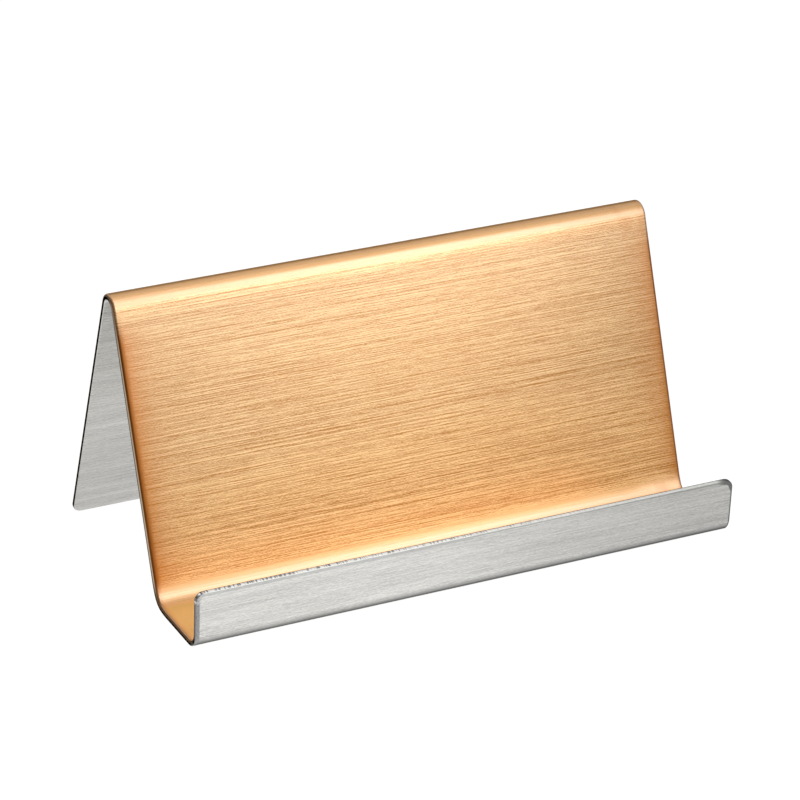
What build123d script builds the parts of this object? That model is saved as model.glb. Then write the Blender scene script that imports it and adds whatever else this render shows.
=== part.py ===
from build123d import *
from math import cos, radians, sin, tan
import os

# Desk stand for business cards. One punched strip of hairline-brushed stainless steel, coloured on one
# face only, is folded three times into a leg, a sloping panel, a tray and a lip.
# Millimetres and degrees. +X runs along the folds, the lip faces -Y and +Z is up.
# The origin is on the desk, under the middle of the stand.

# Overall sizes
width = 95.0  # along the folds, a little more than a card
height = 46.5  # top of the crest above the desk
tray_depth = 14.3  # along the tray, from the lip's coloured face to the panel's
lip_height = 10.4  # top edge of the lip above the desk

# Leans from upright, in degrees
panel_lean = 20.2  # backwards, so that the cards lie back
leg_lean = 20.2  # the other way, so that the foot stands out behind
lip_lean = 3.0  # forwards, so that the cards drop in

# Sheet and folds
thickness = 1.0  # steel and coat together
coat_thickness = 0.1  # the coloured layer, drawn thick enough to be a body of its own
crest_radius = 1.6  # inside the fold between leg and panel
tray_radius = 3.2  # inside the fold between panel and tray
lip_radius = 2.0  # inside the fold between tray and lip

# Edges
corner_radius = 1.5  # in the plane of the sheet, at the free corners of lip and leg
coated_edge_radius = 0.4  # rolled over by the punch, on the coloured face
bare_edge_radius = 0.2  # deburred, on the bare face
overrun = 5.0  # how far a cutting strip runs past the sheet

panel_turn, leg_turn, lip_turn = radians(panel_lean), radians(leg_lean), radians(lip_lean)


# How far a rounded square edge, turned by an angle, stays inside the sharp one
def rounding_loss(radius, turn):
    return radius * (sin(turn) + cos(turn) - 1)


# The coloured face in profile, as depth from the lip's root and height above the desk,
# at the points where its flats would meet if the folds were sharp
crest_outside_radius = crest_radius + thickness
fold_half = (panel_turn + leg_turn) / 2
fold_tilt = (panel_turn - leg_turn) / 2
crest_rise = height - crest_outside_radius + crest_outside_radius * cos(fold_tilt) / sin(fold_half)
crest_set = tray_depth + (crest_rise - thickness) * tan(panel_turn)
foot_rise = thickness * sin(leg_turn) - rounding_loss(bare_edge_radius, leg_turn)
foot_set = crest_set + (crest_rise - foot_rise) * tan(leg_turn)
lip_top_set = -(lip_height - thickness) * tan(lip_turn)
fold_radii = [crest_outside_radius, tray_radius, lip_radius]

# The stand's reach, from the lip's root to its foremost and its rearmost edge
front_reach = lip_top_set - thickness * cos(lip_turn) + rounding_loss(bare_edge_radius, lip_turn)
rear_reach = foot_set - rounding_loss(coated_edge_radius, leg_turn)
side_plane = Plane(origin=(0, -(front_reach + rear_reach) / 2, 0), x_dir=(0, 1, 0), z_dir=(1, 0, 0))


# Corners of the coloured face from the foot to the lip's top, with both free ends made longer by an extra
def coloured_corners(extra):
    return [
        (foot_set + extra * sin(leg_turn), foot_rise - extra * cos(leg_turn)),
        (crest_set, crest_rise),
        (tray_depth, thickness),
        (0, thickness),
        (lip_top_set - extra * sin(lip_turn), lip_height + extra * cos(lip_turn)),
    ]


# The whole strip, folded: the profile of the coloured face takes its thickness towards the bare face
with BuildPart() as strip:
    with BuildSketch(side_plane):
        with BuildLine():
            FilletPolyline(*coloured_corners(0), radius=fold_radii)
            offset(amount=thickness, side=Side.LEFT)
        make_face()
    extrude(amount=width / 2, both=True)
    # The only edges as short as the sheet is thick are the free corners of lip and leg
    fillet(edges().sort_by(SortBy.LENGTH)[:4], radius=corner_radius)
    # The outline of each face is one smooth loop, so a single edge at the foot stands for the whole of it
    fillet(edges().filter_by(Axis.X).sort_by(Axis.Y)[-1], radius=coated_edge_radius)
    fillet(edges().filter_by(Axis.X).sort_by(Axis.Z)[0], radius=bare_edge_radius)

# A layer as thin as the coat along the coloured face, running past the strip on all sides
with BuildPart() as coat_layer:
    with BuildSketch(side_plane):
        with BuildLine():
            FilletPolyline(*coloured_corners(overrun), radius=fold_radii)
            offset(amount=coat_thickness, side=Side.LEFT)
        make_face()
    extrude(amount=width / 2 + overrun, both=True)

# Steel sheet: the strip without its coat
with BuildPart() as folded_sheet:
    add(strip.part)
    add(coat_layer.part, mode=Mode.SUBTRACT)

# Gold-coloured coat: the skin of the strip's show face, feathered out round its edges
with BuildPart() as gold_coat:
    add(strip.part)
    add(coat_layer.part, mode=Mode.INTERSECT)

os.makedirs("parts", exist_ok=True)
folded_sheet.part.label = "folded_sheet"
gold_coat.part.label = "gold_coat"
export_step(folded_sheet.part, "parts/folded_sheet.step")
export_step(gold_coat.part, "parts/gold_coat.step")
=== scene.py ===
import math

import bmesh
import bpy
from mathutils import Matrix, Vector


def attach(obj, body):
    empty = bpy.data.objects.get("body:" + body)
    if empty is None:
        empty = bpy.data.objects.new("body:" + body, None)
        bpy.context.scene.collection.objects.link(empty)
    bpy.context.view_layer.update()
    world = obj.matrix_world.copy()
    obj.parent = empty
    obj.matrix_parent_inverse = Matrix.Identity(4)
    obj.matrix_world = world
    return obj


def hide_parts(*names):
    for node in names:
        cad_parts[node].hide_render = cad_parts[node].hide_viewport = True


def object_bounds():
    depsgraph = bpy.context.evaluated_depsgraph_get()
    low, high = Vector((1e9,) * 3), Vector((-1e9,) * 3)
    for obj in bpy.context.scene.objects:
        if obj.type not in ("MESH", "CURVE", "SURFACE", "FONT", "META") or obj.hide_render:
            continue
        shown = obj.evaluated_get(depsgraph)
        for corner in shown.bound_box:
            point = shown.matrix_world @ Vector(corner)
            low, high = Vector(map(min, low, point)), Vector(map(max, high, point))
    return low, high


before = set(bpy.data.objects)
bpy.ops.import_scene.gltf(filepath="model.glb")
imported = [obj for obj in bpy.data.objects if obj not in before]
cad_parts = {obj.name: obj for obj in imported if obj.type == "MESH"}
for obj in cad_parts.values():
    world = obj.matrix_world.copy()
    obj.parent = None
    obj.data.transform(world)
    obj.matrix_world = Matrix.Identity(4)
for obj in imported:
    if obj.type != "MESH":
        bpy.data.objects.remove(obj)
cadLow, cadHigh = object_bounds()
mm = 0.001
print("frame loaded, nodes:", sorted(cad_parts))


# Adds one node: settings are its own properties, inputs are plain values or sockets to link from
def addNode(tree, kind, settings=None, inputs=None):
    node = tree.nodes.new(kind)
    for name, value in (settings or {}).items():
        setattr(node, name, value)
    for key, value in (inputs or {}).items():
        if isinstance(value, bpy.types.NodeSocket):
            tree.links.new(value, node.inputs[key])
        else:
            node.inputs[key].default_value = value
    return node


# sRGB hex to the linear colour that a socket takes
def linearColour(hexCode):
    shares = [int(hexCode[i:i + 2], 16) / 255 for i in (1, 3, 5)]
    return [c / 12.92 if c <= 0.04045 else ((c + 0.055) / 1.055) ** 2.4 for c in shares] + [1.0]


# Folded strip, from the lip's top edge to the foot of the leg: mm, and degrees from upright
strip = {
    "width": (cadHigh.x - cadLow.x) / mm,
    "height": 46.5,
    "trayDepth": 14.3,
    "lipHeight": 10.4,
    "panelLean": 20.2,
    "legLean": 20.2,
    "lipLean": 3.0,
    "thickness": 1.0,
    "crestRadius": 2.6,      # the three radii are the gold face's
    "trayRadius": 3.2,
    "lipRadius": 2.0,
    "trayTails": (12.0, 9.0),    # radius and degrees: that fold runs out softly at both ends
    "cornerRadius": 1.5,     # free corners, in the plane of the sheet
    "goldEdge": 0.4,         # rolled over by the punch
    "bareEdge": 0.2,         # deburred
    "coat": 0.06,            # drawn thick, so that it is a skin of its own
    "coatFeather": 0.02,     # what is left of it where it ends on the edge
    "flatRing": 0.1,         # a mesh ring beside each rounding, so that the face is shaded flat up to it
    "flatStep": 2.0,         # mesh rows and columns on the flats
    "bendStep": 3.0,         # degrees between mesh rows in a fold
    "leastFlat": 0.2,        # a shorter flat gets no row of its own
    "leastBend": 4,          # mesh rows in the smallest fold
    "edgeSteps": 6,          # mesh rings round a rolled edge
    "cornerSteps": 8,
    "sharpAngle": 40.0,      # degrees between faces, beyond which an edge is shaded sharp
    "mapMargin": 2.0,        # round the blank on its map
    "hiddenShare": 0.15,     # the hidden face gets a small patch of the map
}


# Flats and folds of the strip: lengths along the gold face, in metres. A fold is one arc, or three where it
# has tails: then the middle one is tighter, so that the fold stays as deep as a plain one.
def developStrip(size):
    panelTurn, legTurn, lipTurn = (math.radians(size[k]) for k in ("panelLean", "legLean", "lipLean"))
    crestHalf = (panelTurn + legTurn) / 2
    crestRise = size["height"] - size["crestRadius"]
    crestRise += size["crestRadius"] * math.cos((panelTurn - legTurn) / 2) / math.sin(crestHalf)
    footRise = size["thickness"] * math.sin(legTurn) - edgeLoss(size["bareEdge"], legTurn)
    turns = [math.pi / 2 - lipTurn, math.pi / 2 - panelTurn, 2 * crestHalf - math.pi]
    radii = [size[k] for k in ("lipRadius", "trayRadius", "crestRadius")]
    tangents = [0] + [r * math.tan(abs(t) / 2) for r, t in zip(radii, turns)] + [0]
    tailRadius, tailTurn = size["trayTails"][0], math.radians(size["trayTails"][1])
    sink, opening = 1 - math.cos(tailTurn), math.cos(turns[1] / 2)
    middleRadius = radii[1] * (1 - opening) - tailRadius * sink
    middleRadius /= 1 - sink - opening
    spread = tailRadius - middleRadius
    tangents[2] = (middleRadius + spread * sink) * math.tan(turns[1] / 2) + spread * math.sin(tailTurn)
    bends = [
        {"Lip": (radii[0], turns[0])},
        {
            "Tray tail": (tailRadius, tailTurn),
            "Tray": (middleRadius, turns[1] - 2 * tailTurn),
            "Panel tail": (tailRadius, tailTurn),
        },
        {"Crest": (radii[2], turns[2])},
    ]
    runs = [
        (size["lipHeight"] - size["thickness"]) / math.cos(lipTurn),
        size["trayDepth"],
        (crestRise - size["thickness"]) / math.cos(panelTurn),
        (crestRise - footRise) / math.cos(legTurn),
    ]
    flats = [run - tangents[i] - tangents[i + 1] for i, run in enumerate(runs)]
    folds, arcs, along = [], {}, 0
    for flat, bend in zip(flats, bends):
        along += flat
        folds.append({"start": along * mm})
        for name, (radius, turn) in bend.items():
            arcs[name] = {"start": along * mm, "radius": radius * mm, "turn": turn}
            along += radius * abs(turn)
        folds[-1]["end"] = along * mm
    length = (along + flats[-1]) * mm

    lipTop = -(size["lipHeight"] - size["thickness"]) * math.tan(lipTurn)
    front = lipTop - size["thickness"] * math.cos(lipTurn) + edgeLoss(size["bareEdge"], lipTurn)
    foot = size["trayDepth"] + (crestRise - size["thickness"]) * math.tan(panelTurn)
    foot += (crestRise - footRise) * math.tan(legTurn)
    rear = foot - edgeLoss(size["goldEdge"], legTurn)
    lipTopPlace = Vector((0, lipTop - (front + rear) / 2, size["lipHeight"])) * mm
    return folds, arcs, length, lipTopPlace, lipTurn - math.pi / 2


# How far a rounded square edge, turned by an angle, stays inside the sharp one
def edgeLoss(radius, turn):
    return radius * (math.sin(turn) + math.cos(turn) - 1)


folds, arcs, stripLength, lipTopPlace, lipDirection = developStrip(strip)
lipFold, trayFold, crestFold = folds
print("strip developed, length in mm:", round(stripLength / mm, 2))


# Places along the strip, in metres, where the mesh has a row: sparse on the flats, close in the folds
def meshRows(size):
    corner, step = size["cornerRadius"] * mm, size["flatStep"] * mm
    stretches, at = [], corner
    for arc in arcs.values():
        if arc["start"] - at > size["leastFlat"] * mm:
            stretches.append((at, arc["start"], max(1, round((arc["start"] - at) / step))))
        at = arc["start"] + arc["radius"] * abs(arc["turn"])
        bendRows = round(math.degrees(abs(arc["turn"])) / size["bendStep"])
        stretches.append((arc["start"], at, max(size["leastBend"], bendRows)))
    stretches.append((at, stripLength - corner, round((stripLength - corner - at) / step)))
    rows = [corner]
    for start, end, count in stretches:
        rows += [start + (end - start) * (i + 1) / count for i in range(count)]
    return rows


# Flat blank of one layer, as a closed mesh: x across, y along the strip and z up from the gold face.
# The section runs from the layer's show face over its edge to its hidden face, as (inset, depth) pairs in mm.
# Each vertex keeps its inset from the outline, for the finishes.
def makeBlank(name, section, size):
    half, corner = size["width"] / 2 * mm, size["cornerRadius"] * mm
    rows = meshRows(size)
    columnCount = round(2 * (half - corner) / (size["flatStep"] * mm))
    columns = [(half - corner) * (2 * i / columnCount - 1) for i in range(columnCount + 1)]
    lastRow, lastColumn = len(rows) - 1, columnCount
    quarter = [(i + 1) / size["cornerSteps"] for i in range(size["cornerSteps"] - 1)]

    # One turn round the outline: the grid vertex that each outline point belongs to, and the way outwards
    turn = [((i, 0), (0, -1)) for i in range(columnCount + 1)]
    corners = [((lastColumn, 0), -90), ((lastColumn, lastRow), 0), ((0, lastRow), 90), ((0, 0), 180)]
    sides = [
        [((lastColumn, i), (1, 0)) for i in range(lastRow + 1)],
        [((i, lastRow), (0, 1)) for i in reversed(range(columnCount + 1))],
        [((0, i), (-1, 0)) for i in reversed(range(lastRow + 1))],
        [],
    ]
    for (place, start), side in zip(corners, sides):
        for share in quarter:
            angle = math.radians(start + 90 * share)
            turn.append((place, (math.cos(angle), math.sin(angle))))
        turn += side

    blank = bmesh.new()
    bakeMap = blank.loops.layers.uv.new("OFBake")
    insetLayer = blank.verts.layers.float.new("inset")
    flip = section[0][1] > section[-1][1]
    margin, hiddenShare = size["mapMargin"] * mm, size["hiddenShare"]
    mapScale = stripLength + 2 * margin
    mapPlace = {}

    def addFace(corners):
        face = blank.faces.new(list(reversed(corners)) if flip else corners)
        face.smooth = True
        for loop in face.loops:
            loop[bakeMap].uv = mapPlace[loop.vert]

    def addVertex(x, y, depth, inset, u, v):
        vertex = blank.verts.new((x, y, -depth * mm))
        vertex[insetLayer] = inset
        mapPlace[vertex] = (u, v)
        return vertex

    def addRing(inset, depth, developed):
        ring = []
        for (i, j), (outX, outY) in turn:
            reach = corner - inset * mm
            spread = reach + developed * mm
            x, y = columns[i] + outX * reach, rows[j] + outY * reach
            u, v = columns[i] + outX * spread + half + margin, rows[j] + outY * spread + margin
            ring.append(addVertex(x, y, depth, inset * mm, u / mapScale, v / mapScale))
        return ring

    def addSheetFace(depth, ring, patch, turned):
        grid = {}
        for i, x in enumerate(columns):
            for j, y in enumerate(rows):
                u, v = (x + half + margin) / mapScale, (y + margin) / mapScale
                inset = min(half - abs(x), y, stripLength - y)
                grid[i, j] = addVertex(x, y, depth, inset, *patch(u, v))
        for i in range(columnCount):
            for j in range(lastRow):
                quad = [grid[i, j], grid[i + 1, j], grid[i + 1, j + 1], grid[i, j + 1]]
                addFace(quad[::-1] if turned else quad)
        for k in range(len(turn)):
            after = (k + 1) % len(turn)
            band = [ring[k], ring[after], grid[turn[after][0]]]
            if turn[k][0] != turn[after][0]:
                band.append(grid[turn[k][0]])
            addFace(band[::-1] if turned else band)

    developed, rings = 0, []
    for k, (inset, depth) in enumerate(section):
        if k:
            developed += math.dist(section[k], section[k - 1])
        rings.append(addRing(inset, depth, developed - (section[0][0] - inset)))
    addSheetFace(section[0][1], rings[0], lambda u, v: (u, v), False)
    for ring, following in zip(rings, rings[1:]):
        for k in range(len(turn)):
            after = (k + 1) % len(turn)
            addFace([ring[after], ring[k], following[k], following[after]])

    def shrunk(u, v):
        return 1 - hiddenShare + hiddenShare * u, hiddenShare * v

    for vertex in rings[-1]:
        mapPlace[vertex] = shrunk(*mapPlace[vertex])
    addSheetFace(section[-1][1], rings[-1], shrunk, True)

    mesh = bpy.data.meshes.new(name)
    blank.to_mesh(mesh)
    blank.free()
    return mesh


# Rounded edge from a face down to the sheet's side, or the same under a coat, as (inset, depth) pairs
def roundedEdge(radius, steps, coat=0, feather=0):
    pairs = []
    for i in range(steps + 1):
        angle = math.pi / 2 * i / steps
        reach = radius - coat * (1 - i / steps) - feather * i / steps
        pairs.append((radius - reach * math.sin(angle), radius - reach * math.cos(angle)))
    return pairs


# One fold of the press: what lies beyond the start is wrapped round the radius and turned with it
def foldGroup():
    tree = bpy.data.node_groups.new("pressFold", "GeometryNodeTree")
    sockets = tree.interface
    sockets.new_socket("Geometry", in_out="INPUT", socket_type="NodeSocketGeometry")
    for name in ("Start", "Radius", "Turn"):
        sockets.new_socket(name, in_out="INPUT", socket_type="NodeSocketFloat")
    sockets.new_socket("Geometry", in_out="OUTPUT", socket_type="NodeSocketGeometry")
    given = tree.nodes.new("NodeGroupInput").outputs
    flat = addNode(tree, "GeometryNodeInputNamedAttribute", {"data_type": "FLOAT_VECTOR"}, {"Name": "blank"})
    flatParts = addNode(tree, "ShaderNodeSeparateXYZ", {}, {0: flat.outputs["Attribute"]}).outputs
    times, less = {"operation": "MULTIPLY"}, {"operation": "SUBTRACT"}
    turnSize = addNode(tree, "ShaderNodeMath", {"operation": "ABSOLUTE"}, {0: given["Turn"]}).outputs[0]
    arc = addNode(tree, "ShaderNodeMath", times, {0: turnSize, 1: given["Radius"]}).outputs[0]
    beyond = addNode(tree, "ShaderNodeMath", less, {0: flatParts["Y"], 1: given["Start"]}).outputs[0]
    limited = {"operation": "DIVIDE", "use_clamp": True}
    share = addNode(tree, "ShaderNodeMath", limited, {0: beyond, 1: arc}).outputs[0]
    used = addNode(tree, "ShaderNodeMath", times, {0: share, 1: arc}).outputs[0]
    slide = addNode(tree, "ShaderNodeCombineXYZ", {}, {"Y": used}).outputs[0]
    place = addNode(tree, "GeometryNodeInputPosition").outputs[0]
    slid = addNode(tree, "ShaderNodeVectorMath", less, {0: place, 1: slide}).outputs[0]
    side = addNode(tree, "ShaderNodeMath", {"operation": "SIGN"}, {0: given["Turn"]}).outputs[0]
    centreRise = addNode(tree, "ShaderNodeMath", times, {0: side, 1: given["Radius"]}).outputs[0]
    centre = addNode(tree, "ShaderNodeCombineXYZ", {}, {"Y": given["Start"], "Z": centreRise}).outputs[0]
    angle = addNode(tree, "ShaderNodeMath", times, {0: share, 1: given["Turn"]}).outputs[0]
    inputs = {"Vector": slid, "Center": centre, "Angle": angle}
    turned = addNode(tree, "ShaderNodeVectorRotate", {"rotation_type": "X_AXIS"}, inputs).outputs[0]
    inputs = {"Geometry": given["Geometry"], "Position": turned}
    moved = addNode(tree, "GeometryNodeSetPosition", {}, inputs)
    addNode(tree, "NodeGroupOutput", {}, {"Geometry": moved.outputs["Geometry"]})
    return tree


# The whole folding: the crest first and the lip last, then the lip is stood up where the CAD has it
def foldingTree(fold):
    tree = bpy.data.node_groups.new("foldStrip", "GeometryNodeTree")
    sockets = tree.interface
    sockets.new_socket("Geometry", in_out="INPUT", socket_type="NodeSocketGeometry")
    for part in arcs:
        for name in ("start", "radius", "turn"):
            sockets.new_socket(f"{part} {name}", in_out="INPUT", socket_type="NodeSocketFloat")
    sockets.new_socket("Lip direction", in_out="INPUT", socket_type="NodeSocketFloat")
    sockets.new_socket("Lip top", in_out="INPUT", socket_type="NodeSocketVector")
    sockets.new_socket("Finish", in_out="INPUT", socket_type="NodeSocketMaterial")
    sockets.new_socket("Geometry", in_out="OUTPUT", socket_type="NodeSocketGeometry")
    given = tree.nodes.new("NodeGroupInput").outputs
    place = addNode(tree, "GeometryNodeInputPosition")
    current = addNode(
        tree,
        "GeometryNodeStoreNamedAttribute",
        {"data_type": "FLOAT_VECTOR", "domain": "POINT"},
        {"Geometry": given["Geometry"], "Name": "blank", "Value": place.outputs[0]},
    )
    for part in reversed(arcs):
        values = {name.title(): given[f"{part} {name}"] for name in ("start", "radius", "turn")}
        values["Geometry"] = current.outputs["Geometry"]
        current = addNode(tree, "GeometryNodeGroup", {"node_tree": fold}, values)
    stand = addNode(tree, "ShaderNodeCombineXYZ", {}, {"X": given["Lip direction"]})
    inputs = {"Translation": given["Lip top"], "Rotation": stand.outputs[0]}
    stood = addNode(tree, "GeometryNodeTransform", {}, {"Geometry": current.outputs["Geometry"], **inputs})
    real = addNode(tree, "GeometryNodeRealizeInstances", {}, {"Geometry": stood.outputs["Geometry"]})
    inputs = {"Geometry": real.outputs["Geometry"], "Material": given["Finish"]}
    finished = addNode(tree, "GeometryNodeSetMaterial", {}, inputs)
    addNode(tree, "NodeGroupOutput", {}, {"Geometry": finished.outputs["Geometry"]})
    return tree


# Folds a blank with the tree and keeps the result as a plain mesh
def foldBlank(name, mesh, tree, finish):
    piece = bpy.data.objects.new(name, mesh)
    bpy.context.scene.collection.objects.link(piece)
    press = piece.modifiers.new("foldStrip", "NODES")
    press.node_group = tree
    values = {"Lip direction": lipDirection, "Lip top": lipTopPlace, "Finish": finish}
    for part, arc in arcs.items():
        for key, value in arc.items():
            values[f"{part} {key}"] = value
    for item in tree.interface.items_tree:
        if item.in_out == "INPUT" and item.name in values:
            press[item.identifier] = values[item.name]
    folded = bpy.data.meshes.new_from_object(piece.evaluated_get(bpy.context.evaluated_depsgraph_get()))
    piece.modifiers.remove(press)
    piece.data = folded
    piece.data.name = name
    piece.data.set_sharp_from_angle(angle=math.radians(strip["sharpAngle"]))
    return piece


# Brushing, the same for both finishes
brushing = {
    "cell": 0.02,                # mm along a hairline in which its tone is even
    "rowApart": 7.31,            # steps through the noise from row to row
    "layerApart": 7.3,           # and from layer to layer
    "bandSeed": 51.7,
    "scratchSeed": 83.9,
    "scratchFrom": (0.64, 0.76),    # tone at which a row is a scratch, and a full one
    "middle": 0.5,               # tone of the face between bright and dark hairlines
    "bump": 0.1,
    "bumpDepth": 0.02,           # mm
    "grainTurn": 0.25,           # of a turn: highlights are drawn out across the hairlines
}


# Noise on the flat blank, with a scale in noise cells to the metre
def stretchedNoise(tree, place, scale, seed, detail):
    inputs = {"Vector": place, "Location": (seed, seed, 0), "Scale": scale}
    stretched = addNode(tree, "ShaderNodeMapping", {}, inputs).outputs[0]
    inputs = {"Vector": stretched, "Scale": 1.0, "Detail": detail}
    return addNode(tree, "ShaderNodeTexNoise", {"noise_dimensions": "2D"}, inputs).outputs["Fac"]


# Straight streaks along the folds: rows of one width, each with a noise of its own along its length.
# Length and width are in mm, and the seed picks another set of rows.
def streaks(tree, blank, length, width, seed):
    cell = (brushing["cell"] * mm, width * mm, 1.0)    # one cell through the sheet
    rows = addNode(tree, "ShaderNodeVectorMath", {"operation": "SNAP"}, {0: blank, 1: cell}).outputs[0]
    scale = (1 / (length * mm), brushing["rowApart"] / (width * mm), 0)
    return stretchedNoise(tree, rows, scale, seed, 1.0)


# Soft-edged patches of a given length and height in mm
def patches(tree, blank, length, height, seed):
    return stretchedNoise(tree, blank, (1 / (length * mm), 1 / (height * mm), 0), seed, 2.0)


# Brushed pattern from 0 to 1: layers of streaks, each with a dark side, and broad bands about their middle,
# and single bright scratches
def hairlines(tree, blank, look):
    patterns, seed, middle = [], look["seed"], brushing["middle"]
    apart, darkShare = look["darkSide"]
    beside = addNode(tree, "ShaderNodeVectorMath", {}, {0: blank, 1: (0, apart * mm, 0)}).outputs[0]
    for i, (length, width, weight) in enumerate(look["layers"]):
        layerSeed = seed + brushing["layerApart"] * i
        patterns.append((streaks(tree, blank, length, width, layerSeed), weight))
        patterns.append((streaks(tree, beside, length, width, layerSeed), -weight * darkShare))
    length, height, weight = look["bands"]
    patterns.append((patches(tree, blank, length, height, seed + brushing["bandSeed"]), weight))
    total = middle
    for pattern, weight in patterns:
        about = addNode(tree, "ShaderNodeMath", {"operation": "SUBTRACT"}, {0: pattern, 1: middle})
        inputs = {0: about.outputs[0], 1: weight, 2: total}
        total = addNode(tree, "ShaderNodeMath", {"operation": "MULTIPLY_ADD"}, inputs).outputs[0]
    length, width, weight = look["scratches"]
    row = streaks(tree, blank, length, width, seed + brushing["scratchSeed"])
    start, full = brushing["scratchFrom"]
    inputs = {"Value": row, "From Min": start, "From Max": full, "To Max": weight}
    scratch = addNode(tree, "ShaderNodeMapRange", {}, inputs)
    lit = addNode(tree, "ShaderNodeMath", {"operation": "ADD"}, {0: total, 1: scratch.outputs[0]})
    return addNode(tree, "ShaderNodeClamp", {}, {"Value": lit.outputs[0]}).outputs[0]


# Where the press rubbed the sheet smooth: 1 inside the folds, with a soft start given in mm
def rubbedFolds(tree, along, ramp, bends):
    rubbed = 0.0
    for fold in bends:
        middle, reach = (fold["start"] + fold["end"]) / 2, (fold["end"] - fold["start"]) / 2
        off = addNode(tree, "ShaderNodeMath", {"operation": "SUBTRACT"}, {0: along, 1: middle})
        away = addNode(tree, "ShaderNodeMath", {"operation": "ABSOLUTE"}, {0: off.outputs[0]})
        inputs = {"Value": away.outputs[0], "From Min": reach, "From Max": reach - ramp * mm}
        inside = addNode(tree, "ShaderNodeMapRange", {"interpolation_type": "SMOOTHSTEP"}, inputs)
        inputs = {0: inside.outputs[0], 1: rubbed}
        rubbed = addNode(tree, "ShaderNodeMath", {"operation": "MAXIMUM"}, inputs).outputs[0]
    return rubbed


# Places in metres that lie some mm from another one
def placesFrom(place, distances, way=1):
    return tuple(place + way * distance * mm for distance in distances)


# Masks and other values from a table, in its order. Text in a row stands for an earlier row's value.
# SMOOTHSTEP and LINEAR rows: what they follow, where they start and are full, and their first and last value.
# The other rows are worked out from what they name, with that Math operation.
def makeMasks(tree, table):
    masks = {}
    for name, (way, *given) in table.items():
        values = [masks[item] if isinstance(item, str) else item for item in given]
        if way in ("SMOOTHSTEP", "LINEAR"):
            value, (start, full), first, last = values
            inputs = {"Value": value, "From Min": start, "From Max": full, "To Min": first, "To Max": last}
            masks[name] = addNode(tree, "ShaderNodeMapRange", {"interpolation_type": way}, inputs).outputs[0]
            continue
        masks[name] = values[0]
        for value in values[1:]:
            inputs = {0: masks[name], 1: value}
            masks[name] = addNode(tree, "ShaderNodeMath", {"operation": way}, inputs).outputs[0]
    return masks


# Lays tones over a ground, each where its mask is: mixed in, or multiplied with what lies below
def layTones(tree, masks, ground, layers):
    for name, way, tone in layers:
        inputs = {0: masks[name], 6: ground, 7: tone}
        ground = addNode(tree, "ShaderNodeMix", {"data_type": "RGBA", "blend_type": way}, inputs).outputs[2]
    return ground


# A new finish, with its tones and what each point keeps from the flat blank
def startFinish(name, look):
    material = bpy.data.materials.new(name)
    material.use_nodes = True
    tree = material.node_tree
    tree.nodes.clear()
    tones = {key: linearColour(value) for key, value in look.items() if isinstance(value, str)}
    blank = addNode(tree, "ShaderNodeAttribute", {"attribute_name": "blank"}).outputs["Vector"]
    inset = addNode(tree, "ShaderNodeAttribute", {"attribute_name": "inset"}).outputs["Fac"]
    return material, tree, tones, blank, inset


# Ends a finish as brushed metal, with the inputs that are its own
def endFinish(tree, look, lines, ownInputs):
    inputs = {"Strength": brushing["bump"], "Distance": brushing["bumpDepth"] * mm, "Height": lines}
    bump = addNode(tree, "ShaderNodeBump", {}, inputs)
    grainWay = addNode(tree, "ShaderNodeCombineXYZ", {}, {"X": 1.0})
    inputs = {
        "Metallic": 1.0,
        "Anisotropic": look["anisotropy"],
        "Anisotropic Rotation": brushing["grainTurn"],
        "Tangent": grainWay.outputs[0],
        "Normal": bump.outputs[0],
    }
    shader = addNode(tree, "ShaderNodeBsdfPrincipled", {}, {**inputs, **ownInputs})
    addNode(tree, "ShaderNodeOutputMaterial", {}, {"Surface": shader.outputs[0]})


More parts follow.
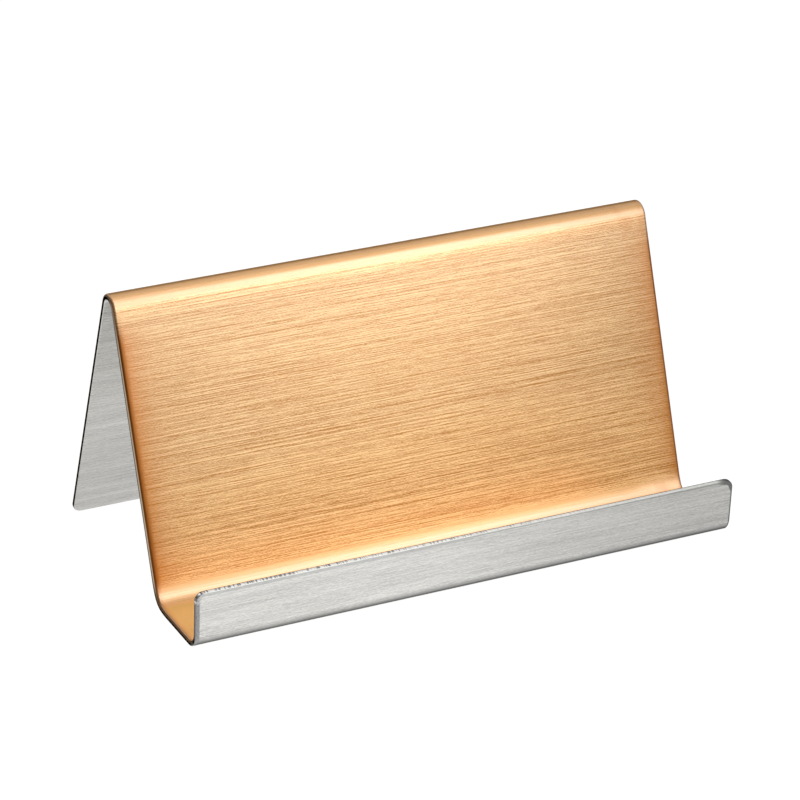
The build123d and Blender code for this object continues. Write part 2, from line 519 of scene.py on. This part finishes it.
# Hairline-brushed stainless steel: cool grey, streaked along the folds, with painted shade that darkens it
# towards the right end and towards the leg's foot, and a band of painted shade outside the lip's fold. Its
# cut edge is torn dark, with a bright sheared line along the panel. The lip is filed grey round its ends, and
# its top is worn bright between dark nicks. The hairlines are as wide as a coarse belt leaves them.
steelLook = {
    "light": "#F6F5F1",
    "dark": "#BDBCB8",
    # painted shade, towards the right end
    "paintedRightShade": "#D8D8D8",
    # painted shade, towards the leg's foot
    "paintedFootShade": "#ECECEC",
    "pressRubAndFoldShade": "#747474",        # painted shade, on the fold under the lip
    "torn": "#343230",           # on the cut edge
    "sheared": "#BEB6AC",        # in the bright line along it
    "polished": "#A4A4A4",       # on the lip's ends, and on its filed rim in the left half
    "worn": "#E4E4E0",           # along the lip's top
    "rim": "#8A8A8A",            # in nicks and file strokes
    "corner": "#727270",         # on that rim in the right half, and on the top at the right corner
    "shaded": "#303030",         # edge reflectance of torn metal, which traps light, and painted shade on the fold under the lip
    "seed": 3.1,
    "layers": [(90, 0.06, 0.75), (5, 0.06, 0.7), (1.5, 0.06, 0.8), (0.5, 0.06, 1.05)],    # mm, mm, weight
    "darkSide": (0.24, 0.15),    # mm between a hairline's bright and dark side, and the dark one's share
    "bands": (25, 2.0, 0.6),
    "scratches": (25, 0.08, 0.2),
    "rightShadeFrom": -34,             # mm from the middle, and full at the right end
    "footShadeFrom": (26, 6),       # mm up the leg from its foot, over which painted shade darkens it
    "foldShadeFrom": (7.6, 8.95),      # mm along the strip, on the fold under the lip
    "foldShadeTo": (9.15, 8.85),
    "lipLook": (10.6, 8.6),      # mm along the strip, from where to where the lip's own edge comes in
    "lipTop": (2.2, 1.4),        # mm from the lip's top edge, where it is worn
    "topGrey": 0.04,             # how far that wear turns grey towards the right end
    "topRim": 0.4,               # what is left of the filed rim along the top
    "lipCorner": (3.4, 1.4),     # mm in from the right edge
    "cornerBelow": (2.4, 1.2),   # mm from the lip's top edge
    "cornerWider": 0.4,          # mm that the rim gains there
    "leftWider": 0.3,            # mm that the rim gains at the left end
    "filedRim": (0.42, 0.27),    # mm in from the edge
    "marks": (0.28, 0.3, 23.7),  # nicks and file marks: mm long and high, and a seed
    "markFrom": (0.5, 0.62),     # tone at which a patch is a mark, and a full one
    "strokes": (0.9, 0.4),       # mm in from the left edge, where the file ran over the face
    "strokeMost": 0.85,
    "lineFrom": (0.42, 0.46),    # mm below the gold face, sheared bright on the panel
    "lineTo": (0.68, 0.62),
    "crestWider": 0.2,           # mm that this line gains at the crest
    "crestReach": 3.0,           # mm over which it does so, and fades at both its ends
    "darkDepth": (0.75, 0.95),   # mm below the gold face, dark on the lip's ends
    "edgeDepth": (0.96, 0.87),   # and where the cut edge starts
    "rubRamp": 0.3,              # mm into a fold until it is fully rubbed
    "roughness": (0.4, 0.48),
    "smoothRoughness": 0.3,      # in the folds and on the cut edge
    "topRoughness": 0.6,         # on the lip's nicked top
    "leftCorner": (1.7, 1.1),    # mm in from the left edge, where that top is polished
    "cornerTop": (1.1, 0.5),     # mm from the lip's top edge
    "cornerRoughness": 0.3,
    "anisotropy": 0.8,
}


def brushedSteelMaterial(look):
    material, tree, tones, blank, inset = startFinish("hairlineStainlessSteel", look)
    across, along, up = addNode(tree, "ShaderNodeSeparateXYZ", {}, {0: blank}).outputs
    half, reach = strip["width"] / 2 * mm, look["crestReach"] * mm
    trayEnd, crestStart, crestEnd = trayFold["end"], crestFold["start"], crestFold["end"]
    nearCrest = (crestStart - reach, crestStart + reach)
    lines = hairlines(tree, blank, look)
    rubbed = rubbedFolds(tree, along, look["rubRamp"], folds)
    masks = makeMasks(tree, {
        # Face
        # Painted shade: darker towards the right end
        "rightEnd": ("SMOOTHSTEP", across, (look["rightShadeFrom"] * mm, half), 0, 1),
        # Painted shade: darker towards the leg's foot
        "downLeg": ("SMOOTHSTEP", along, placesFrom(stripLength, look["footShadeFrom"], -1), 0, 1),
        # Painted shade: a dark band on the fold under the lip
        "foldShadeStart": ("LINEAR", along, placesFrom(0, look["foldShadeFrom"]), 0, 1),
        "foldShadeEnd": ("SMOOTHSTEP", along, placesFrom(0, look["foldShadeTo"]), 0, 1),
        "paintedFoldShade": ("MULTIPLY", "foldShadeStart", "foldShadeEnd"),
        # Lip, and its filed rim, which is wider at the left end and at the right corner
        "onLip": ("SMOOTHSTEP", along, placesFrom(0, look["lipLook"]), 0, 1),
        "onTop": ("SMOOTHSTEP", along, placesFrom(0, look["lipTop"]), 0, 1),
        "onCorner": ("SMOOTHSTEP", across, placesFrom(half, look["lipCorner"], -1), 0, 1),
        "atRight": ("GREATER_THAN", across, 0.0),
        "leftGain": ("LINEAR", "atRight", (0, 1), -look["leftWider"] * mm, 0.0),
        "cornerZone": ("SMOOTHSTEP", along, placesFrom(0, look["cornerBelow"]), 0, -look["cornerWider"] * mm),
        "cornerGain": ("MULTIPLY", "cornerZone", "onCorner"),
        "rimInset": ("ADD", inset, "leftGain", "cornerGain"),
        "rimPlace": ("SMOOTHSTEP", "rimInset", placesFrom(0, look["filedRim"]), 0, 1),
        "topRim": ("LINEAR", "onCorner", (0, 1), look["topRim"], 1),
        "rimShare": ("LINEAR", "onTop", (0, 1), 1, "topRim"),
        "lipRim": ("MULTIPLY", "rimPlace", "onLip", "rimShare"),
        "marks": ("SMOOTHSTEP", patches(tree, blank, *look["marks"]), look["markFrom"], 0, 1),
        "strokeZone": ("SMOOTHSTEP", across, placesFrom(-half, look["strokes"]), 0, look["strokeMost"]),
        "strokes": ("MULTIPLY", "marks", "strokeZone", "onLip"),
        # Cut edge: the sheared line by its depth, the lip's ends and its worn top
        "cut": ("SMOOTHSTEP", up, placesFrom(0, look["edgeDepth"], -1), 0, 1),
        "onCrest": ("SMOOTHSTEP", along, nearCrest, 0, look["crestWider"] * mm),
        "lineDepth": ("ADD", up, "onCrest"),
        "lineStart": ("SMOOTHSTEP", up, placesFrom(0, look["lineFrom"], -1), 0, 1),
        "lineEnd": ("SMOOTHSTEP", "lineDepth", placesFrom(0, look["lineTo"], -1), 0, 1),
        "afterTray": ("SMOOTHSTEP", along, (trayEnd - reach, trayEnd + reach), 0, 1),
        "beforeLeg": ("SMOOTHSTEP", along, (crestEnd - reach, crestEnd - 2 * reach), 0, 1),
        "sheared": ("MULTIPLY", "lineStart", "lineEnd", "afterTray", "beforeLeg"),
        "deep": ("SMOOTHSTEP", up, placesFrom(0, look["darkDepth"], -1), 0, 1),
        "greyEnd": ("MULTIPLY", "onLip", "deep"),
        "leftShare": ("SUBTRACT", 1.0, "rightEnd"),
        "nicks": ("MULTIPLY", "marks", "leftShare"),
        "greyTop": ("MULTIPLY", "rightEnd", look["topGrey"]),
        "greyed": ("MAXIMUM", "greyTop", "onCorner"),
        # Torn metal, and the painted shade on the fold under the lip, stay dark at a glance too
        "offLip": ("SUBTRACT", 1.0, "onLip"),
        "torn": ("MULTIPLY", "cut", "offLip"),
        "darkest": ("MAXIMUM", "torn", "paintedFoldShade"),
        # Roughness
        "smooth": ("MAXIMUM", rubbed, "cut"),
        "flatRough": ("LINEAR", lines, (0, 1), *look["roughness"]),
        "evenRough": ("LINEAR", "smooth", (0, 1), "flatRough", look["smoothRoughness"]),
        "polishLeft": ("SMOOTHSTEP", across, placesFrom(-half, look["leftCorner"]), 0, 1),
        "polishTop": ("SMOOTHSTEP", along, placesFrom(0, look["cornerTop"]), 0, 1),
        "polish": ("MULTIPLY", "polishLeft", "polishTop"),
        "topRough": ("LINEAR", "polish", (0, 1), look["topRoughness"], look["cornerRoughness"]),
        "topCut": ("MULTIPLY", "cut", "onTop"),
        "rough": ("LINEAR", "topCut", (0, 1), "evenRough", "topRough"),
    })
    masks["lines"] = lines
    endGrey = layTones(tree, masks, tones["polished"], [("atRight", "MIX", tones["corner"])])
    face = layTones(tree, masks, tones["dark"], [
        ("lines", "MIX", tones["light"]),
        # Painted shade: darker towards the right end and towards the leg's foot
        ("rightEnd", "MULTIPLY", tones["paintedRightShade"]),
        ("downLeg", "MULTIPLY", tones["paintedFootShade"]),
        # painted shade on the fold under the lip
        ("paintedFoldShade", "MIX", tones["pressRubAndFoldShade"]),
        ("lipRim", "MIX", endGrey),
        ("strokes", "MIX", tones["rim"]),
    ])
    topEdge = layTones(tree, masks, tones["worn"], [
        ("nicks", "MIX", tones["rim"]),
        ("greyed", "MIX", tones["corner"]),
    ])
    edge = layTones(tree, masks, tones["torn"], [
        ("sheared", "MIX", tones["sheared"]),
        ("greyEnd", "MIX", tones["polished"]),
        ("onTop", "MIX", topEdge),
    ])
    endFinish(tree, look, lines, {
        "Base Color": layTones(tree, masks, face, [("cut", "MIX", edge)]),
        "Specular Tint": layTones(tree, masks, (1, 1, 1, 1), [("darkest", "MIX", tones["shaded"])]),
        "Roughness": masks["rough"],
    })
    return material


# Gold lacquer on hairline-brushed steel: peach bronze under a clear gloss, streaked along the folds, rubbed
# smooth inside them and on the tray. Painted light gives the tray a yellower tone, and painted shade darkens
# the panel towards the crest, its ridge, the lip's top between burrs, and the edges, in brown where it rolls
# over them. It is copper in faint upright patches towards the right end and beside the edges, and worn
# through on the outermost part. The hairlines are as wide as a coarse belt leaves them.
goldLook = {
    "light": "#FBCD90",
    "dark": "#B7772D",
    # painted light: a yellower tone for the light bounced between tray and panel
    "tray": "#D2AA4E",
    "deeper": "#EAEEF6",         # painted shade, darker up the panel towards the crest
    "paintedRidgeShade": "#DADADA",          # painted shade along its ridge
    "stain": "#BC6C0A",          # copper
    "edge": "#8E5422",           # brown painted shade, on the panel's edges
    "rolled": "#8C6C50",         # painted shade on the rolled edge beyond the panel
    "bared": "#C8AE92",          # worn through to the steel
    "burrAndShadeTone": "#241C16",           # on the lip's top: burrs, and painted shade between them
    "shaded": "#403020",         # edge reflectance, kept dark as painted shade on the browned edge and the lip's top
    "seed": 5.7,
    "layers": [(70, 0.05, 2.4), (14, 0.05, 1.8), (3, 0.05, 1.6), (0.4, 0.05, 1.8)],    # mm, mm, weight
    "darkSide": (0.2, 0.28),     # mm between a hairline's bright and dark side, and the dark one's share
    "bands": (70, 1.4, 0.25),
    "scratches": (35, 0.07, 0.5),
    "smoothed": 0.8,             # share of the hairlines that is rubbed off in the folds and on the tray
    "rubRamp": 0.5,              # mm into a fold until it is fully rubbed
    "pressFrom": (-1.4, -2.4),   # mm from the end of the tray's fold, where it and the tray are rubbed
    "fadeFrom": (-0.2, -1.2),    # and where the hairlines fade
    "trayFrom": (-0.7, -2.5),    # mm from the middle of that fold, where the tray's painted bounce tone comes in
    "deeperFrom": (4, 22),       # mm up the panel from its foot
    "crestShadeTo": (0.5, -2.5),     # mm from the start of the crest
    "ridgeShadeFrom": (2.8, 3.4),     # mm over the crest, where painted shade darkens its ridge
    "ridgeShadeTo": (6.3, 5.3),
    "ridgeMatte": 0.35,          # share of the gloss taken off there, darkening that line further
    "stainPatches": (3, 9, 41.7),    # mm long and high, and a seed
    "patchFrom": (0.4, 0.65),    # tone at which a patch shows, and is full
    "stainFrom": (9.0, 1.5),     # mm in from the right edge
    "stainMost": 0.35,
    "warmHalf": 1.7,             # mm in from the edges, in which the warm tint halves
    "warmMost": 1.1,             # before it is cut off at 1
    "rightWarm": 0.8,            # how much of that tint there is at the right edge
    "rightBrown": 0.25,          # and of the brown
    "trayWarm": (1.1, 0.35),     # mm in from the tray's edges
    "trayWarmMost": 0.5,
    "brownFoot": (-2.5, 0.5),    # mm from the end of the tray's fold, over which the brown comes in
    "brownTop": (0, -6.0),       # mm from the crest, over which it comes in there
    "brownBand": (1.3, 0.3),     # mm in from the edge
    "thinBand": (0.62, 0.36),    # and of a thinner band, the same on both sides
    "thinMost": 0.7,
    "rolledDepth": (0, 0.2),     # mm below the gold face
    "rolledCrest": 0.85,         # how much of the rolled edge's tone there is at the crest
    "baredDepth": (0.1, 0.2),    # mm below the gold face, where the lacquer is worn through
    "lipTop": (0.45, 0.2),       # mm from the lip's top edge
    "burrMarks": (0.5, 2.0, 61.3),    # mm long and high, and a seed
    "burrFrom": (0.3, 0.55),     # tone at which a burr starts, and is full
    "shadeBetweenBurrs": 0.4,            # painted shade: how dark the lip's top is between them
    "roughness": (0.29, 0.35),
    "foldRoughness": 0.48,
    "trayFoldRoughness": 0.45,
    "anisotropy": 0.83,
    "gloss": 1.0,
    "glossRoughness": 0.23,
    "glossIor": 2.0,
}


def goldLacquerMaterial(look):
    material, tree, tones, blank, inset = startFinish("goldLacquerOnHairlineSteel", look)
    across, along, up = addNode(tree, "ShaderNodeSeparateXYZ", {}, {0: blank}).outputs
    half, crestStart, trayEnd = strip["width"] / 2 * mm, crestFold["start"], trayFold["end"]
    trayMiddle = (trayFold["start"] + trayEnd) / 2
    brushed = hairlines(tree, blank, look)
    rubbed = rubbedFolds(tree, along, look["rubRamp"], [lipFold, crestFold])
    stainPatches = patches(tree, blank, *look["stainPatches"])
    burrMarks = patches(tree, blank, *look["burrMarks"])
    masks = makeMasks(tree, {
        # Rubbed by the press
        "pressRubAndFoldShade": ("SMOOTHSTEP", along, placesFrom(trayEnd, look["pressFrom"]), 0, 1),
        "worn": ("MAXIMUM", rubbed, "pressRubAndFoldShade"),
        "faded": ("SMOOTHSTEP", along, placesFrom(trayEnd, look["fadeFrom"]), 0, 1),
        "fadedAll": ("MAXIMUM", rubbed, "faded"),
        "smoothed": ("MULTIPLY", "fadedAll", look["smoothed"]),
        "lines": ("LINEAR", "smoothed", (0, 1), brushed, brushing["middle"]),
        "onTray": ("SMOOTHSTEP", along, placesFrom(trayMiddle, look["trayFrom"]), 0, 1),
        "plainTray": ("MULTIPLY", "onTray", "smoothed"),
        # Panel and crest
        # Painted shade, darker up the panel towards the crest
        "upPanel": ("SMOOTHSTEP", along, placesFrom(trayEnd, look["deeperFrom"]), 0, 1),
        "offCrest": ("SMOOTHSTEP", along, placesFrom(crestStart, look["crestShadeTo"]), 0, 1),
        "deeper": ("MULTIPLY", "upPanel", "offCrest"),
        # Painted shade along the crest's ridge
        "ridgeRise": ("SMOOTHSTEP", along, placesFrom(crestStart, look["ridgeShadeFrom"]), 0, 1),
        "ridgeFall": ("SMOOTHSTEP", along, placesFrom(crestStart, look["ridgeShadeTo"]), 0, 1),
        "paintedRidgeShade": ("MULTIPLY", "ridgeRise", "ridgeFall"),
        "aboveFold": ("SMOOTHSTEP", along, placesFrom(trayEnd, look["brownFoot"]), 0, 1),
        "belowCrest": ("SMOOTHSTEP", along, placesFrom(crestStart, look["brownTop"]), 0, 1),
        "onPanel": ("MULTIPLY", "aboveFold", "belowCrest"),
        # Copper: upright patches near the right end, and a tint that grows towards the side edges
        "patch": ("SMOOTHSTEP", stainPatches, look["patchFrom"], 0, look["stainMost"]),
        "rightEnd": ("SMOOTHSTEP", across, placesFrom(half, look["stainFrom"], -1), 0, 1),
        "stained": ("MULTIPLY", "patch", "rightEnd"),
        "halvings": ("DIVIDE", inset, look["warmHalf"] * mm),
        "halved": ("POWER", 0.5, "halvings"),
        "tint": ("MULTIPLY", "halved", look["warmMost"]),
        "beside": ("MINIMUM", "tint", 1.0),
        "besideTray": ("SMOOTHSTEP", inset, placesFrom(0, look["trayWarm"]), 0, look["trayWarmMost"]),
        "besideBoth": ("LINEAR", "aboveFold", (0, 1), "besideTray", "beside"),
        "warmShare": ("LINEAR", across, (-half, half), 1, look["rightWarm"]),
        "warm": ("MULTIPLY", "besideBoth", "belowCrest", "warmShare"),
        "copper": ("MAXIMUM", "stained", "warm"),
        # Painted shade in brown beside the panel's side edges and on the rolled edge, which is worn through
        # at its outside
        "brownShare": ("LINEAR", across, (-half, half), 1, look["rightBrown"]),
        "brownRim": ("SMOOTHSTEP", inset, placesFrom(0, look["brownBand"]), 0, 1),
        "sideBand": ("MULTIPLY", "brownRim", "onPanel", "brownShare"),
        "thinRim": ("SMOOTHSTEP", inset, placesFrom(0, look["thinBand"]), 0, look["thinMost"]),
        "thinBand": ("MULTIPLY", "thinRim", "onPanel"),
        "rolledAll": ("SMOOTHSTEP", up, placesFrom(0, look["rolledDepth"], -1), 0, 1),
        "rolledShare": ("LINEAR", "belowCrest", (0, 1), look["rolledCrest"], 1),
        "rolled": ("MULTIPLY", "rolledAll", "rolledShare"),
        "browned": ("MAXIMUM", "sideBand", "thinBand", "rolled"),
        "outermost": ("SMOOTHSTEP", up, placesFrom(0, look["baredDepth"], -1), 0, 1),
        "bared": ("MULTIPLY", "outermost", "onPanel"),
        # Burrs along the lip's top, over a line of painted shade
        "onTop": ("SMOOTHSTEP", along, placesFrom(0, look["lipTop"]), 0, 1),
        "burrs": ("SMOOTHSTEP", burrMarks, look["burrFrom"], look["shadeBetweenBurrs"], 1),
        "burrsAndShade": ("MULTIPLY", "onTop", "burrs"),
        # The gloss is taken off the browned edge and the burrs, and partly off the crest's ridge, to deepen
        # their painted shade
        "dulled": ("MAXIMUM", "browned", "burrsAndShade"),
        "ridgeMatte": ("MULTIPLY", "paintedRidgeShade", look["ridgeMatte"]),
        "mattest": ("MAXIMUM", "dulled", "ridgeMatte"),
        "gloss": ("LINEAR", "mattest", (0, 1), look["gloss"], 0),
        "covered": ("SUBTRACT", 1.0, "bared"),
        "shade": ("MULTIPLY", "dulled", "covered"),
        # Roughness
        "flatRough": ("LINEAR", "lines", (0, 1), *look["roughness"]),
        "offTray": ("SUBTRACT", "pressRubAndFoldShade", "onTray"),
        "bendRough": ("LINEAR", "offTray", (0, 1), look["foldRoughness"], look["trayFoldRoughness"]),
        "rough": ("LINEAR", "worn", (0, 1), "flatRough", "bendRough"),
    })
    edgeTone = layTones(tree, masks, tones["rolled"], [("onPanel", "MIX", tones["edge"])])
    colour = layTones(tree, masks, tones["dark"], [
        ("lines", "MIX", tones["light"]),
        # painted light, the tray's yellower tone
        ("plainTray", "MIX", tones["tray"]),
        # painted shade up the panel
        ("deeper", "MULTIPLY", tones["deeper"]),
        # painted shade along the crest's ridge
        ("paintedRidgeShade", "MULTIPLY", tones["paintedRidgeShade"]),
        ("copper", "MIX", tones["stain"]),
        # painted shade in brown on the edges
        ("browned", "MIX", edgeTone),
        ("bared", "MIX", tones["bared"]),
        ("burrsAndShade", "MIX", tones["burrAndShadeTone"]),
    ])
    endFinish(tree, look, masks["lines"], {
        "Base Color": colour,
        "Specular Tint": layTones(tree, masks, (1, 1, 1, 1), [("shade", "MIX", tones["shaded"])]),
        "Roughness": masks["rough"],
        "Coat Weight": masks["gloss"],
        "Coat Roughness": look["glossRoughness"],
        "Coat IOR": look["glossIor"],
    })
    return material


steelFinish = brushedSteelMaterial(steelLook)
goldFinish = goldLacquerMaterial(goldLook)
print("materials ready")

pressTree = foldingTree(foldGroup())
# Sections of the coat and of the sheet, each from its show face round the edge to where the two meet
full, gold, bare, steps = (strip[k] for k in ("thickness", "goldEdge", "bareEdge", "edgeSteps"))
outerEdge = roundedEdge(gold, steps)
underEdge = roundedEdge(gold, steps, strip["coat"], strip["coatFeather"])
bareEdge = [(inset, full - depth) for inset, depth in roundedEdge(bare, steps)]
goldSection = [(gold + strip["flatRing"], 0)] + outerEdge + underEdge[::-1]
steelSection = [(bare + strip["flatRing"], full)] + bareEdge + [(0, gold)] + underEdge[::-1]
goldCoat = foldBlank("goldCoat", makeBlank("goldBlank", goldSection, strip), pressTree, goldFinish)
steelSheet = foldBlank("steelSheet", makeBlank("steelBlank", steelSection, strip), pressTree, steelFinish)
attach(goldCoat, "root")
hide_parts("gold_coat")
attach(steelSheet, "root")
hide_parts("folded_sheet")
print("strip folded, faces:", len(goldCoat.data.polygons), len(steelSheet.data.polygons))

# Camera of the photograph: degrees, metres, and the lens for a 36 mm sensor
photoCamera = {
    "azimuth": -26.285,
    "elevation": 25.517,
    "roll": 0.857,
    "distance": 0.58872,
    "lens": 164.2,
    "aim": (0, -0.005038, 0.02),
    "aimRight": -0.002353,
    "aimUp": 0.004178,
    "clip": (0.01, 20),
}


def addCamera(values):
    azimuth, elevation, roll = (math.radians(values[k]) for k in ("azimuth", "elevation", "roll"))
    back = Vector((
        math.sin(azimuth) * math.cos(elevation),
        -math.cos(azimuth) * math.cos(elevation),
        math.sin(elevation),
    ))
    levelRight = Vector((0, 0, 1)).cross(back).normalized()
    levelUp = back.cross(levelRight)
    right = levelRight * math.cos(roll) + levelUp * math.sin(roll)
    up = levelUp * math.cos(roll) - levelRight * math.sin(roll)
    aim = Vector(values["aim"]) + right * values["aimRight"] + up * values["aimUp"]
    camera = bpy.data.objects.new("photoCamera", bpy.data.cameras.new("photoCamera"))
    bpy.context.scene.collection.objects.link(camera)
    camera.data.lens = values["lens"]
    camera.data.clip_start, camera.data.clip_end = values["clip"]
    turned = Matrix((right, up, back)).transposed().to_4x4()
    camera.matrix_world = Matrix.Translation(aim + back * values["distance"]) @ turned
    bpy.context.scene.camera = camera


addCamera(photoCamera)
print("camera placed")

# Studio: a white floor under a pale dome, three soft lamps and dark cards that draw the edges
studio = {
    "floorSize": 8.0,
    "floorColour": "#F6F6F4",
    "floorGlow": 1.09,       # with the light that falls on it, what camera and metal see is plain white
    "floorLift": 0.9,        # share of that glow
    "domeStrength": 0.5,
}


def addFloor(values):
    reach = values["floorSize"] / 2
    corners = [(-reach, -reach, 0), (reach, -reach, 0), (reach, reach, 0), (-reach, reach, 0)]
    mesh = bpy.data.meshes.new("studioFloor")
    mesh.from_pydata(corners, [], [(0, 1, 2, 3)])
    floor = bpy.data.objects.new("studioFloor", mesh)
    bpy.context.scene.collection.objects.link(floor)
    material = bpy.data.materials.new("matteWhitePaper")
    material.use_nodes = True
    tree = material.node_tree
    tree.nodes.clear()
    matte = addNode(tree, "ShaderNodeBsdfDiffuse", {}, {"Color": linearColour(values["floorColour"])})
    glow = addNode(tree, "ShaderNodeEmission", {}, {"Color": (1, 1, 1, 1), "Strength": values["floorGlow"]})
    ray = addNode(tree, "ShaderNodeLightPath").outputs
    seen = ray["Is Camera Ray"]
    for kind in ("Is Glossy Ray", "Is Transmission Ray"):
        seen = addNode(tree, "ShaderNodeMath", {"operation": "MAXIMUM"}, {0: seen, 1: ray[kind]}).outputs[0]
    lift = addNode(tree, "ShaderNodeMath", {"operation": "MULTIPLY"}, {0: seen, 1: values["floorLift"]})
    inputs = {0: lift.outputs[0], 1: matte.outputs[0], 2: glow.outputs[0]}
    mixed = addNode(tree, "ShaderNodeMixShader", {}, inputs)
    addNode(tree, "ShaderNodeOutputMaterial", {}, {"Surface": mixed.outputs[0]})
    mesh.materials.append(material)


def addDome(values):
    world = bpy.data.worlds.new("studioDome")
    bpy.context.scene.world = world
    world.use_nodes = True
    tree = world.node_tree
    tree.nodes.clear()
    inputs = {"Color": (1, 1, 1, 1), "Strength": values["domeStrength"]}
    light = addNode(tree, "ShaderNodeBackground", {}, inputs)
    addNode(tree, "ShaderNodeOutputWorld", {}, {"Surface": light.outputs[0]})


# Soft lamps: place and aim in metres, width and length in metres, and brightness against plain white.
# The long side stands across the hairlines.
lamps = {
    "frontSoftbox": {
        "place": (0.243, -0.371, 0.382),
        "aim": (0, 0, 0.03),
        "size": (0.132, 0.5),
        "brightness": 3.95,
    },
    "stripBox": {
        "place": (0.108, -0.358, 0.433),
        "aim": (0, 0, 0.03),
        "size": (0.14, 1.1),
        "brightness": 2.0,
    },
    "rearSoftbox": {
        "place": (-0.3, 0.55, 0.42),
        "aim": (0, 0, 0.02),
        "size": (0.17, 0.5),
        "brightness": 2.0,
    },
}


def addLamps(values):
    for name, lamp in values.items():
        wide, long = lamp["size"]
        data = bpy.data.lights.new(name, "AREA")
        data.shape = "RECTANGLE"
        data.size, data.size_y = wide, long
        data.energy = lamp["brightness"] * math.pi * wide * long
        light = bpy.data.objects.new(name, data)
        bpy.context.scene.collection.objects.link(light)
        away = (Vector(lamp["place"]) - Vector(lamp["aim"])).normalized()
        along = Vector((0, away.z, -away.y)).normalized()
        turned = Matrix((along.cross(away), along, away)).transposed().to_4x4()
        light.matrix_world = Matrix.Translation(lamp["place"]) @ turned


# Dark cards round the stand, seen only in reflections: lowest and highest corner in metres
cardLook = {"colour": "#202020", "roughness": 0.9}
edgeCards = {
    "leftCard": [(-0.25, -0.6, 0.0), (-0.25, 0.25, 0.3)],
    "frontFlag": [(0.01, -0.45, 0.0), (0.9, -0.45, 0.172)],
    "backCard": [(0.03, 0.5, 0.0), (0.9, 0.5, 0.44)],
}


def addEdgeCards(values, look):
    material = bpy.data.materials.new("matteBlackCard")
    material.use_nodes = True
    paper = material.node_tree.nodes["Principled BSDF"].inputs
    paper["Base Color"].default_value = linearColour(look["colour"])
    paper["Roughness"].default_value = look["roughness"]
    for name, (low, high) in values.items():
        mesh = bpy.data.meshes.new(name)
        corners = [low, (high[0], high[1], low[2]), high, (low[0], low[1], high[2])]
        mesh.from_pydata(corners, [], [(0, 1, 2, 3)])
        mesh.materials.append(material)
        card = bpy.data.objects.new(name, mesh)
        bpy.context.scene.collection.objects.link(card)
        card.visible_camera = False
        card.visible_diffuse = False
        card.visible_shadow = False


addFloor(studio)
addDome(studio)
addLamps(lamps)
addEdgeCards(edgeCards, cardLook)
bpy.context.scene.view_settings.view_transform = "Standard"
print("studio lit")
